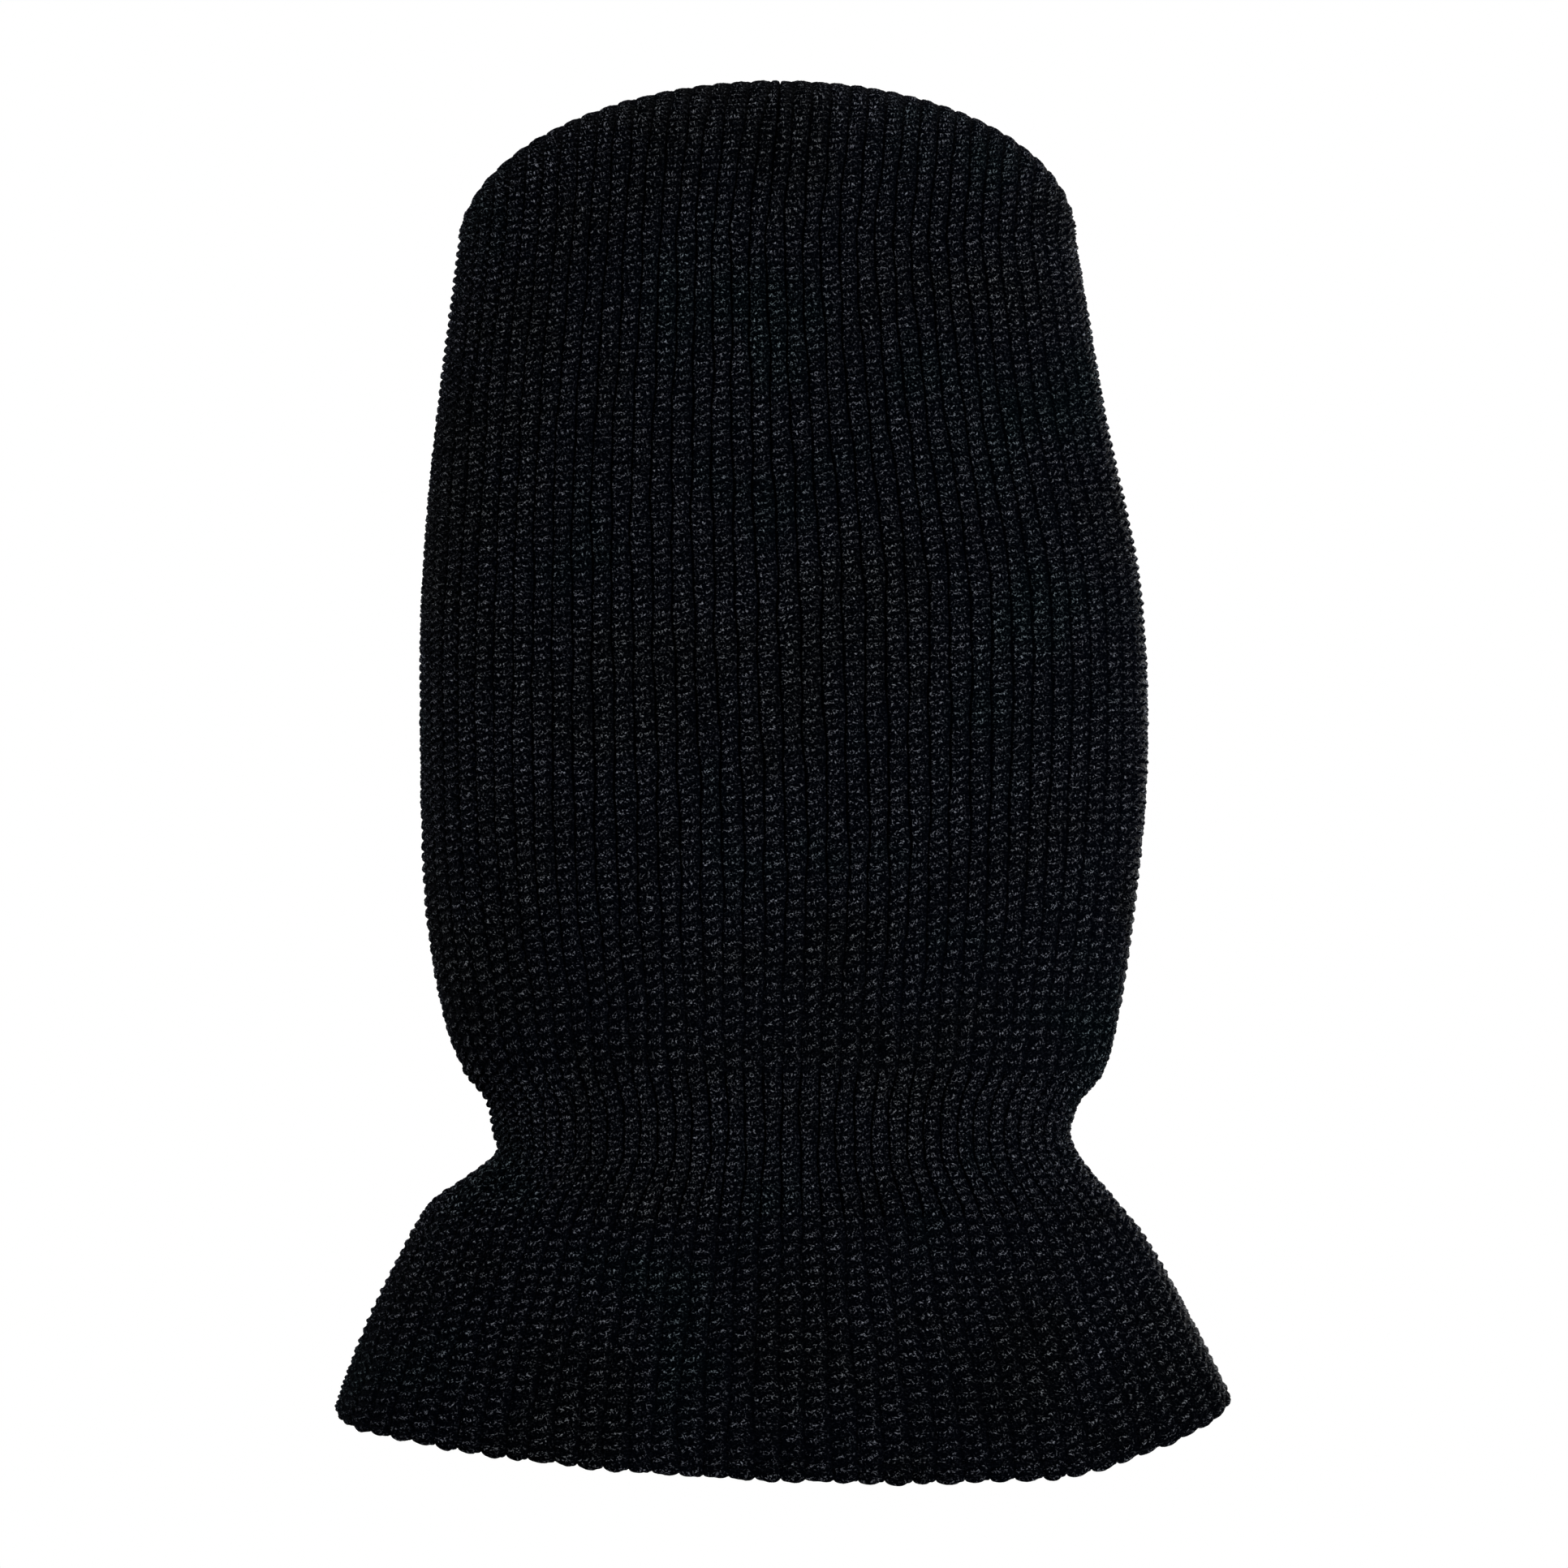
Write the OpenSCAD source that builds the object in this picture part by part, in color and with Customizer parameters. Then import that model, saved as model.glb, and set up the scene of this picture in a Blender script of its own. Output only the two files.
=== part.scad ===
// Three-hole balaclava: a thick rib-knit hood with a tight neck band and a flared skirt.
// It hangs upright and lightly filled, as on a hat stand.  The origin is the seat inside the
// top of the crown, +Z is up, the face looks along -Y and the wearer's left is +X.

/* [Size] */
// Height from the crown to the lowest point of the hem
total_h = 400; // [370:5:430]
// Width of the head part where it is widest
head_w = 206; // [190:2:220]
// Depth of the head part, front to back, as it hangs
head_depth = 72; // [64:2:84]
// Thickness of the knit
wall = 4; // [3:0.5:5]

/* [Face openings] */
// Distance between the middles of the eye openings
eye_spacing = 78; // [70:1:86]
// Width of an eye opening inside its binding
eye_w = 46; // [38:1:52]
// Height of an eye opening inside its binding
eye_h = 25; // [20:1:32]
// Distance of the eye openings below the crown
eye_drop = 131; // [122:1:140]
// Width of the mouth opening inside its binding
mouth_w = 58; // [45:1:66]
// Height of the mouth opening inside its binding
mouth_h = 24; // [18:1:30]
// Distance of the mouth opening below the crown
mouth_drop = 206; // [196:1:216]
// Thickness of the bindings round the openings
binding_t = 5; // [4.5:0.5:6]

/* [Edges and seams] */
// Height of the firm hem edge
hem_h = 5; // [4:1:8]
// Amount that the hem edge stands proud of the knit on each face
hem_proud = 0.6; // [0.2:0.1:1]
// Thickness of the seams inside the hood and skirt
seam_t = 2.6; // [2:0.2:3]

/* [Care label] */
// Width of the folded care label
label_w = 32; // [24:1:40]
// Length of the folded care label as it hangs
label_h = 22; // [16:1:26]
// Thickness of the folded care label
label_t = 1.2; // [0.8:0.1:1.6]

/* [Hidden] */

// Outline seen from the front or back: depth below the crown, then the distances from the
// middle to the left edge, to the right edge and to the front or back face.
OUTLINE = [
    [ 45,  91.5,  83.0, 33.0],
    [ 97,  98.0,  92.0, 35.0],
    [143, 102.0, 101.5, 36.0],
    [190, 102.5, 103.5, 36.0],
    [236, 101.0, 100.0, 34.5],
    [268,  95.5,  95.0, 32.0],
    [282,  90.0,  91.0, 29.5],
    [290,  84.0,  84.5, 28.0],
    [299,  82.0,  81.5, 27.0],
    [305,  81.0,  83.5, 27.0],
    [311,  88.0,  88.0, 27.5],
    [319,  99.5,  95.0, 29.0],
    [328, 105.5, 102.5, 31.0],
    [351, 117.0, 115.5, 35.0],
    [378, 127.0, 128.5, 39.0],
    [400, 131.0, 133.0, 42.0],
];
MODEL_H = 400;
MODEL_W = 206;
MODEL_DEPTH = 72;

shoulder_s = 45;      // where the crown's arch starts
neck_top_s = 282;     // where the tight neck band starts
neck_bottom_s = 322;  // where the skirt starts
crown_lean = 1;       // how far the top of the crown lies to the left
hem_drop = 399.5;     // lowest point of the hem
hem_low_u = 0.2;      // where along the hem that is, from -1 at the left to 1 at the right
hem_bow = 13.5;       // how much the hem rises towards its corners
hem_corner = 12;      // extra rise of the right corner

squareness = 3;       // exponent of the cross-section, 2 would be an ellipse
sides = 56;           // points round a cross-section
half = sides / 2;
clearance = 0.3;      // between a binding, seam or stitch and what is beside it
BLACK = "#17181c";
SATIN = "#2a2b30";

// One column of OUTLINE at a depth s, as a smooth curve through the rows.
function row_before(s, i = 0) = i >= len(OUTLINE) - 2 || s < OUTLINE[i + 1][0] ? i : row_before(s, i + 1);
function slope(i, k) =
    let (a = max(i - 1, 0), b = min(i + 1, len(OUTLINE) - 1))
    (OUTLINE[b][k] - OUTLINE[a][k]) / (OUTLINE[b][0] - OUTLINE[a][0]);
function outline(s, k) =
    let (i = row_before(s), p = OUTLINE[i], q = OUTLINE[i + 1], h = q[0] - p[0], t = (s - p[0]) / h)
    p[k] * (2 * t * t * t - 3 * t * t + 1) + q[k] * (3 * t * t - 2 * t * t * t)
    + h * (slope(i, k) * (t * t * t - 2 * t * t + t) + slope(i + 1, k) * (t * t * t - t * t));
function half_w(s) = (outline(s, 1) + outline(s, 2)) / 2 * head_w / MODEL_W;
function middle(s) = (outline(s, 1) - outline(s, 2)) / 2;
function half_d(s) = outline(s, 3) * head_depth / MODEL_DEPTH;
function height(s) = wall - s * total_h / MODEL_H;

// Cross-section: a rounded rectangle without corners, from 0 at the left round by the back.
function power(v) = sign(v) * pow(abs(v), 2 / squareness);
function section(s, inset, angle) = [
    middle(s) + (half_w(s) - inset) * power(cos(angle)),
    (half_d(s) - inset) * power(sin(angle)),
    height(s),
];
function ring(s, inset) = [for (i = [0:sides - 1]) section(s, inset, i * 360 / sides)];
// Half a ring: 0 is the back half, 180 the front half.
function half_ring(s, inset, from) = [for (i = [0:half]) section(s, inset, from + i * 360 / sides)];

// The hem isn't level, so a place in the skirt is v = 0 at its top to 1 at the hem.
function hem_s(u) = hem_drop - hem_bow * pow(u - hem_low_u, 2) - hem_corner * pow(max(u, 0), 6);
function skirt_point(v, inset, angle) =
    let (s = neck_bottom_s + v * (hem_s(-power(cos(angle))) - neck_bottom_s)) section(s, inset, angle);
function skirt_ring(v, inset) = [for (i = [0:sides - 1]) skirt_point(v, inset, i * 360 / sides)];
function half_skirt_ring(v, inset, from) =
    [for (i = [0:half]) skirt_point(v, inset, from + i * 360 / sides)];
hem_v = 1 - hem_h / (hem_drop - neck_bottom_s);

// Crown: half of an ellipsoid over the section at the shoulder.
function crown_point(rise, inset, angle) = [
    middle(shoulder_s) * (1 - sin(rise)) + crown_lean * sin(rise)
        + (half_w(shoulder_s) - inset) * cos(rise) * power(cos(angle)),
    (half_d(shoulder_s) - inset) * cos(rise) * power(sin(angle)),
    height(shoulder_s) + (wall - height(shoulder_s) - inset) * sin(rise),
];

// Levels down the head, closer together where the outline turns.
HOOD_LEVELS = [45, 60, 78, 97, 120, 143, 166, 190, 213, 236, 252, 265, 274, 282];
NECK_LEVELS = [282, 286, 290, 295, 300, 305, 308, 311, 315, 319, 322];
SKIRT_LEVELS = [for (i = [0:8]) i / 8 * hem_v];

function flat(lists) = [for (list = lists, item = list) item];
function quad(a, b, c, d) = [[a, b, c], [a, c, d]];

// A solid wall between two grids of points.  With wrap it closes round on itself.
module wall_between(outer, inner, wrap) {
    rows = len(outer);
    cols = len(outer[0]);
    gaps = wrap ? cols : cols - 1;
    back = rows * cols;
    skins = [for (r = [0:rows - 2], c = [0:gaps - 1])
        let (a = r * cols + c, b = r * cols + (c + 1) % cols, d = a + cols, e = b + cols)
        concat(quad(a, b, e, d), quad(back + a, back + d, back + e, back + b))];
    ends = [for (c = [0:gaps - 1])
        let (a = c, b = (c + 1) % cols, d = (rows - 1) * cols + a, e = (rows - 1) * cols + b)
        concat(quad(a, back + a, back + b, b), quad(d, e, back + e, back + d))];
    edges = wrap ? [] : [for (r = [0:rows - 2])
        let (a = r * cols, b = a + cols, d = a + cols - 1, e = d + cols)
        concat(quad(a, b, back + b, back + a), quad(d, back + d, back + e, e))];
    polyhedron(concat(flat(outer), flat(inner)), flat(concat(skins, ends, edges)), convexity = 6);
}

// A dome between two sets of rings, each closed by its own top point.
module dome_between(outer, outer_top, inner, inner_top) {
    rows = len(outer);
    cols = len(outer[0]);
    back = rows * cols + 1;
    last = (rows - 1) * cols;
    function next(c) = (c + 1) % cols;
    skins = [for (r = [0:rows - 2], c = [0:cols - 1])
        let (a = r * cols + c, b = r * cols + next(c), d = a + cols, e = b + cols)
        concat(quad(a, d, e, b), quad(back + a, back + b, back + e, back + d))];
    tops = [for (c = [0:cols - 1]) [
        [last + c, back - 1, last + next(c)],
        [back + last + c, back + last + next(c), 2 * back - 1],
    ]];
    rim = [for (c = [0:cols - 1]) quad(c, next(c), back + next(c), back + c)];
    points = concat(flat(outer), [outer_top], flat(inner), [inner_top]);
    polyhedron(points, flat(concat(skins, tops, rim)), convexity = 6);
}

// A round bead swept along a path.  A closed path joins its own start.
module bead(path, r, closed) {
    n = len(path);
    around = 8;
    function at(i) = closed ? path[(i + n) % n] : path[min(max(i, 0), n - 1)];
    function unit(v) = v / norm(v);
    points = [for (i = [0:n - 1])
        let (
            along = unit(at(i + 1) - at(i - 1)),
            side = unit(abs(along[1]) > 0.8 ? cross(along, [1, 0, 0]) : cross(along, [0, 1, 0])),
            up = cross(side, along)
        )
        for (k = [0:around - 1]) path[i] + r * (cos(k * 360 / around) * side + sin(k * 360 / around) * up)];
    skin = [for (i = [0:(closed ? n : n - 1) - 1], k = [0:around - 1])
        let (a = i * around + k, b = i * around + (k + 1) % around)
        let (d = (a + around) % (n * around), e = (b + around) % (n * around))
        quad(a, b, e, d)];
    caps = closed ? [] : [
        [[for (k = [0:around - 1]) around - 1 - k]],
        [[for (k = [0:around - 1]) (n - 1) * around + k]],
    ];
    polyhedron(points, flat(concat(skin, caps)), convexity = 6);
}

// Height and wall of the front at a place given by x and the depth s below the crown.
function s_of(z) = (wall - z) * MODEL_H / total_h;
function front_y(x, z, inset) =
    let (s = s_of(z), u = abs(x - middle(s)) / (half_w(s) - inset))
    -(half_d(s) - inset) * pow(1 - pow(u, squareness), 1 / squareness);

// The eye and mouth openings are ovals.
opening_steps = 40;
function oval(w, h) = [for (i = [0:opening_steps - 1])
    let (a = i * 360 / opening_steps) [w / 2 * cos(a), h / 2 * sin(a)]];
function opening_middle(drop, x) = [middle(drop) + x, height(drop)];

module opening_cut(w, h, drop, x) {
    grow = 2 * (binding_t + clearance);
    spot = opening_middle(drop, x);
    translate([spot[0], -head_depth / 4, spot[1]])
        rotate([90, 0, 0])
            linear_extrude(head_depth / 2) polygon(oval(w + grow, h + grow));
}

module binding(w, h, drop, x) {
    spot = opening_middle(drop, x);
    path = [for (p = oval(w + binding_t, h + binding_t))
        let (px = spot[0] + p[0], pz = spot[1] + p[1]) [px, front_y(px, pz, wall / 2), pz]];
    color(BLACK) bead(path, binding_t / 2, true);
}

module crown() {
    rises = [0, 10, 20, 30, 40, 50, 60, 70, 78, 84];
    function rings(inset) = [for (rise = rises)
        [for (i = [0:sides - 1]) crown_point(rise, inset, i * 360 / sides)]];
    color(BLACK)
        dome_between(rings(0), crown_point(90, 0, 0), rings(wall), crown_point(90, wall, 0));
}

module hood_wall(from) {
    outer = [for (s = HOOD_LEVELS) half_ring(s, 0, from)];
    inner = [for (s = HOOD_LEVELS) half_ring(s, wall, from)];
    wall_between(outer, inner, false);
}

module hood_back() {
    color(BLACK) hood_wall(0);
}

module hood_front() {
    color(BLACK)
        difference() {
            hood_wall(180);
            for (side = [-1, 1]) opening_cut(eye_w, eye_h, eye_drop, side * eye_spacing / 2);
            opening_cut(mouth_w, mouth_h, mouth_drop, 0);
        }
}

module left_eye_binding() {
    binding(eye_w, eye_h, eye_drop, eye_spacing / 2);
}

module right_eye_binding() {
    binding(eye_w, eye_h, eye_drop, -eye_spacing / 2);
}

module mouth_binding() {
    binding(mouth_w, mouth_h, mouth_drop, 0);
}

module neck_band() {
    color(BLACK)
        wall_between([for (s = NECK_LEVELS) ring(s, 0)], [for (s = NECK_LEVELS) ring(s, wall)], true);
}

module skirt_wall(from) {
    outer = [for (v = SKIRT_LEVELS) half_skirt_ring(v, 0, from)];
    inner = [for (v = SKIRT_LEVELS) half_skirt_ring(v, wall, from)];
    color(BLACK) wall_between(outer, inner, false);
}

module skirt_back() {
    skirt_wall(0);
}

module skirt_front() {
    skirt_wall(180);
}

module hem_edge() {
    levels = [hem_v, (hem_v + 1) / 2, 1];
    color(BLACK)
        wall_between(
            [for (v = levels) skirt_ring(v, -hem_proud)],
            [for (v = levels) skirt_ring(v, wall + hem_proud)],
            true
        );
}

// A side seam runs down the inside where the front and back meet; side is 1 at the left.
seam_r = seam_t / 2;
seam_inset = wall + seam_r + clearance;

module hood_seam(side) {
    levels = [for (i = [1:len(HOOD_LEVELS) - 2]) HOOD_LEVELS[i]];
    color(BLACK) bead([for (s = levels) section(s, seam_inset, 90 - side * 90)], seam_r, false);
}

module left_hood_seam() {
    hood_seam(1);
}

module right_hood_seam() {
    hood_seam(-1);
}

module skirt_seam(side) {
    levels = [for (i = [1:len(SKIRT_LEVELS) - 2]) SKIRT_LEVELS[i]];
    color(BLACK) bead([for (v = levels) skirt_point(v, seam_inset, 90 - side * 90)], seam_r, false);
}

module left_skirt_seam() {
    skirt_seam(1);
}

module right_skirt_seam() {
    skirt_seam(-1);
}

// The crown seam closes the dart on the inside, from front to back over the middle.
module crown_seam() {
    path = [for (a = [-70:10:70]) [
        crown_lean,
        (half_d(shoulder_s) - seam_inset) * sin(a),
        height(shoulder_s) + (wall - height(shoulder_s) - seam_inset) * cos(a),
    ]];
    color(BLACK) bead(path, seam_r, false);
}

// The label hangs straight down from its sewn top edge, just inside the back of the skirt.
label_top_s = 326;
label_gap = 1.5;
label_y = half_d(label_top_s) - wall - label_gap - label_t;

module care_label() {
    color(SATIN)
        translate([middle(label_top_s) - label_w / 2, label_y, height(label_top_s) - label_h])
            cube([label_w, label_t, label_h]);
}

// Four short bars of thread come out of the knit to tie the label's top edge.
module label_stitches() {
    stitch_r = 0.5;
    stitch_drop = 1;
    start_y = label_y + label_t + clearance;
    color(BLACK)
        for (i = [-1.5:1.5])
            translate([middle(label_top_s) + i * label_w / 4, start_y, height(label_top_s) - stitch_drop])
                rotate([-90, 0, 0]) cylinder(r = stitch_r, h = label_gap - clearance, $fn = 24);
}

crown();
hood_back();
hood_front();
neck_band();
skirt_back();
skirt_front();
hem_edge();
left_eye_binding();
right_eye_binding();
mouth_binding();
left_hood_seam();
right_hood_seam();
left_skirt_seam();
right_skirt_seam();
crown_seam();
care_label();
label_stitches();
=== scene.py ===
"""Three-hole rib-knit balaclava, held upright and seen from behind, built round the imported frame."""

import math

import bpy
import numpy as np
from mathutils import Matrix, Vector


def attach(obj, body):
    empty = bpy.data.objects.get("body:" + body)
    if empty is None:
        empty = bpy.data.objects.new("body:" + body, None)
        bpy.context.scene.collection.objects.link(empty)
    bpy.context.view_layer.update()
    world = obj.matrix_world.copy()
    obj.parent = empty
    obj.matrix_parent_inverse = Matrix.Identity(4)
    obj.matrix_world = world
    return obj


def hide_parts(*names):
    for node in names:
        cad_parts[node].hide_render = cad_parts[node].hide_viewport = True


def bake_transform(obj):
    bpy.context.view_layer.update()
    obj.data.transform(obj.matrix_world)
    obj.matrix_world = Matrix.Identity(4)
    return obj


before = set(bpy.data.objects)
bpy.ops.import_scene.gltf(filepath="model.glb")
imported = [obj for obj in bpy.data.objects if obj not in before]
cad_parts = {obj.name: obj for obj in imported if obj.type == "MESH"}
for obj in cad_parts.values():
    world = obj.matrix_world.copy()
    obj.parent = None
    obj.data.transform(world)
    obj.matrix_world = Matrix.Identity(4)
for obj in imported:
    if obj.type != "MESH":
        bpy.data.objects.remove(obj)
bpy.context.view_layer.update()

MM = 0.001
rng = np.random.default_rng(11)

# ================================================================ the hood's shape, in millimetres
# Depth s below the crown, then the distance from the middle to the left edge, to the right edge
# and to the back or front face.
OUTLINE = np.array(
    [
        [45, 91.5, 83.0, 33.0],
        [97, 98.0, 92.0, 35.0],
        [143, 102.0, 101.5, 36.0],
        [190, 102.5, 103.5, 36.0],
        [236, 101.0, 100.0, 34.5],
        [268, 95.5, 95.0, 32.0],
        [282, 90.0, 91.0, 29.5],
        [290, 84.0, 84.5, 28.0],
        [299, 82.0, 81.5, 27.0],
        [305, 81.0, 83.5, 27.0],
        [311, 88.0, 88.0, 27.5],
        [319, 99.5, 95.0, 29.0],
        [328, 105.5, 102.5, 31.0],
        [351, 117.0, 115.5, 35.0],
        [378, 127.0, 128.5, 39.0],
        [400, 131.0, 133.0, 42.0],
    ]
)
DEEPEST = 402  # depth at which the tables worked out below end
SQUARENESS = 3  # exponent of the cross-section, 2 would be an ellipse
WALL = 4.0
SHOULDER_S = 45.0
NECK_TOP_S = 282.0
NECK_BOTTOM_S = 322.0
CROWN_LEAN = 1.0
# The hem: its lowest depth and where that is, how much it bows up, and its raised right corner.
HEM_DROP = 397.0
HEM_LOW_U = 0.2
HEM_BOW = 13.5
HEM_CORNER = 14.0
HEM_CORNER_U = 0.48
HEM_H = 5.0
HEM_TOP = HEM_DROP - HEM_H

# The openings in the face: depth, place across, and size inside the binding.
BINDING_T = 5.0
BINDING_ROUND = 16.0  # distance round a binding's own thickness
WRAP = 2.4  # distance between the stitches round a binding
OPENINGS = {
    "left_eye_binding": (131.0, 39.0, 46.0, 25.0),
    "right_eye_binding": (131.0, -39.0, 46.0, 25.0),
    "mouth_binding": (206.0, 0.0, 58.0, 24.0),
}
SEAM_R = 1.3
SEAM_INSET = WALL + SEAM_R + 0.3
LABEL_S = 326.0
LABEL_W = 32.0
LABEL_H = 22.0
LABEL_T = 1.2
LABEL_GAP = 1.5
RIBBON_T = 0.22


def outline(s, column):
    """One column of OUTLINE at the depths s, as a smooth curve through its rows."""
    knots, values = OUTLINE[:, 0], OUTLINE[:, column]
    slopes = np.empty(len(knots))
    slopes[1:-1] = (values[2:] - values[:-2]) / (knots[2:] - knots[:-2])
    slopes[0] = (values[1] - values[0]) / (knots[1] - knots[0])
    slopes[-1] = (values[-1] - values[-2]) / (knots[-1] - knots[-2])
    i = np.clip(np.searchsorted(knots, s, side="right") - 1, 0, len(knots) - 2)
    h = knots[i + 1] - knots[i]
    t = (s - knots[i]) / h
    value = values[i] * (2 * t**3 - 3 * t**2 + 1) + values[i + 1] * (3 * t**2 - 2 * t**3)
    return value + h * (slopes[i] * (t**3 - 2 * t**2 + t) + slopes[i + 1] * (t**3 - t**2))


def half_w(s):
    """Half the hood's width at the depth s."""
    return (outline(s, 1) + outline(s, 2)) / 2


def middle(s):
    """How far the hood's middle is from the frame's own, at the depth s."""
    return (outline(s, 1) - outline(s, 2)) / 2


def half_d(s):
    """Half the hood's size from front to back, at the depth s."""
    return outline(s, 3)


def height(s):
    """Z of the depth s; the crown's outside is one wall above the origin."""
    return WALL - s


def hem_s(across):
    """Depth of the hem, which isn't level; across is 0 at the left edge and 1 at the right edge.

    u is -1 at the left edge and 1 at the right edge.
    """
    u = 2 * across - 1
    corner = smooth((u - HEM_CORNER_U) / (1 - HEM_CORNER_U))
    return HEM_DROP - HEM_BOW * (u - HEM_LOW_U) ** 2 - HEM_CORNER * corner


def unit(vectors):
    return vectors / np.linalg.norm(vectors, axis=-1, keepdims=True)


def smooth(t):
    t = np.clip(t, 0, 1)
    return t * t * (3 - 2 * t)


# ---------------------------------------------------------------- places round the hood
RIBS = 42  # on each face
RIB_W = 5.7  # of a rib laid flat
COLUMN_PHASES = [0, 0.05, 0.11, 0.18, 0.26, 0.35, 0.44, 0.53, 0.61, 0.69, 0.78, 0.86, 0.94]
COLUMNS = np.append((np.arange(RIBS)[:, None] + COLUMN_PHASES).ravel(), RIBS) / RIBS


def section(angle):
    """A point of the cross-section of half width 1 and half depth 1, by its polar angle."""
    c, s = np.cos(angle), np.sin(angle)
    r = (np.abs(c) ** SQUARENESS + np.abs(s) ** SQUARENESS) ** (-1 / SQUARENESS)
    return c * r, s * r


# The line that the middle ribs follow; only the outer ones follow the uneven outline.
LINE_S = [45, 97, 143, 236, 300, 340, 400]
LINE = [4.25, 3.0, 0.25, 0.2, 0.1, 0.6, -1.0]


def rib_line(s, ex):
    """Sideways shift of the ribs, where ex is 0 in the middle and 1 or -1 at the sides."""
    line = np.interp(s, LINE_S, LINE)
    return line + (middle(s) - line) * ex**4


# How much wider than the average the middle ribs are; the neck band gathers the outer ones.
GATHER_S = [0, 262, 302, 345, 400]
GATHER = [0.04, 0.03, 0.17, 0.03, 0.0]
HALF_TURN = np.linspace(0, math.pi, 600)


def column_angles(s):
    """The angle of each column at one depth, spaced along the section's own length."""
    x, y = section(HALF_TURN)
    run = np.append(0, np.cumsum(np.hypot(np.diff(x * half_w(s)), np.diff(y * half_d(s)))))
    gather = np.interp(s, GATHER_S, GATHER)
    spread = COLUMNS - gather * np.sin(2 * math.pi * COLUMNS) / (2 * math.pi)
    return np.interp(spread * run[-1], run, HALF_TURN)


LEVELS = np.arange(SHOULDER_S, DEEPEST)
ANGLES = np.array([column_angles(s) for s in LEVELS])


def angle_at(columns, s):
    """Angles from the table, between its columns and levels."""
    level = np.clip(s - LEVELS[0], 0, len(LEVELS) - 1.001)
    place = np.interp(columns, COLUMNS, np.arange(len(COLUMNS)))
    low, left = level.astype(int), np.clip(place.astype(int), 0, len(COLUMNS) - 2)
    down, right = level - low, place - left
    upper = ANGLES[low, left] * (1 - right) + ANGLES[low, left + 1] * right
    lower = ANGLES[low + 1, left] * (1 - right) + ANGLES[low + 1, left + 1] * right
    return upper * (1 - down) + lower * down


def drift(columns, s):
    """Ribs wander sideways a little, together and each for itself; returns the moved columns."""
    rib = columns * RIBS
    together = 0.14 * np.sin(s / 41 + 4 * columns) + 0.08 * np.sin(s / 19 - 9 * columns + 1)
    alone = 0.05 * np.sin(s / 8 + 2.3 * rib) + 0.035 * np.sin(s / 3.4 - 3.7 * rib)
    return columns + (together + alone) / RIBS * np.sin(np.pi * columns)


def slack(columns, s, side):
    """Gentle unevenness of the hanging fabric, in or out, in millimetres."""
    waves = (
        0.5 * np.sin(s / 13 + 11 * columns)
        + 0.45 * np.sin(s / 21 - 17 * columns + 2)
        + 0.35 * np.sin(s / 9 + 23 * columns + side)
    )
    return waves * np.sin(np.pi * columns) * (1.0 if side > 0 else 0.5)


def tube_surface(columns, s, inset, side):
    """Points and outward normals of the hood's wall; side is 1 at the back and -1 at the front."""
    angle = angle_at(drift(columns, s), s)
    ex, ey = section(angle)
    a, b = half_w(s) - inset, half_d(s) - inset
    point = np.stack([rib_line(s, ex) + a * ex, side * b * ey, height(s)], axis=-1)
    step = 0.5
    da, db = ((f(s + step) - f(s - step)) / (2 * step) for f in (half_w, half_d))
    dm = (rib_line(s + step, ex) - rib_line(s - step, ex)) / (2 * step)
    px = np.sign(ex) * np.abs(ex) ** (SQUARENESS - 1)
    py = side * np.abs(ey) ** (SQUARENESS - 1)
    nz = px * (da * ex + dm) / a + np.abs(ey) ** SQUARENESS * db / b
    normal = unit(np.stack([px / a, py / b, nz], axis=-1))
    return point + normal * slack(columns, s, side)[..., None], normal


def crown_surface(columns, turn, inset):
    """The crown: each column of the shoulder goes up and over, from the back at 0 to the front at pi."""
    columns = drift(columns, SHOULDER_S * (1 - np.sin(turn)))
    ex, ey = section(angle_at(columns, np.full_like(columns, SHOULDER_S)))
    a, b, rise = half_w(SHOULDER_S) - inset, half_d(SHOULDER_S) - inset, SHOULDER_S - inset
    arch = np.sqrt(np.clip(1 - ex**2, 0, 1))
    up = arch * np.sin(turn)
    lean = middle(SHOULDER_S) * (1 - up) + CROWN_LEAN * up
    point = np.stack([lean + a * ex, b * ey * np.cos(turn), height(SHOULDER_S) + rise * up], axis=-1)
    nx = np.sign(ex) * np.abs(ex) ** (SQUARENESS - 1) * np.cos(turn) ** 2 + ex * np.sin(turn) ** 2
    ny = np.abs(ey) ** (SQUARENESS - 1) * np.cos(turn)
    nz = 0.12 * np.abs(np.cos(turn)) + arch * np.sin(turn)
    normal = unit(np.stack([nx / a, ny / b, nz / rise], axis=-1))
    side = np.where(turn < math.pi / 2, 1, -1)
    swell = slack(columns, SHOULDER_S, 1) * (side > 0) + slack(columns, SHOULDER_S, -1) * (side < 0)
    return point + normal * (swell * np.cos(turn) ** 2)[..., None], normal


# ================================================================ the knit
ROWS_PER_COURSE = 6
CROWN_ROWS = 261
HEM_ROWS = 45
STRAND_SHARE = 0.57  # of each course that its strand fills
PROUD = 0.3  # how far the knit's level stands over the wall's faces
UNEVEN = 0.05  # roughness of the yarn
# Middle and half width of a rib's wide column of loops and its narrow column of legs, in ribs.
LOOPS_AT = 0.36
LOOPS_HALF = 0.37
LEGS_AT = 0.855
LEGS_HALF = 0.13
LOOSE_PITCH = 2.9  # courses further apart than this look loose
TIGHT_PITCH = 2.4  # and closer than this, tight
# Distance between courses down the hood: loose below the chin, tight in the neck band.
PITCH_S = [0, 80, 150, 195, 212, 250, 270, 281.9, 282.1, 321.9, 322.1, 400]
PITCH = [2.4, 2.45, 2.55, 2.7, 3.05, 3.4, 3.75, 3.9, 2.3, 2.35, 3.6, 3.75]
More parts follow.
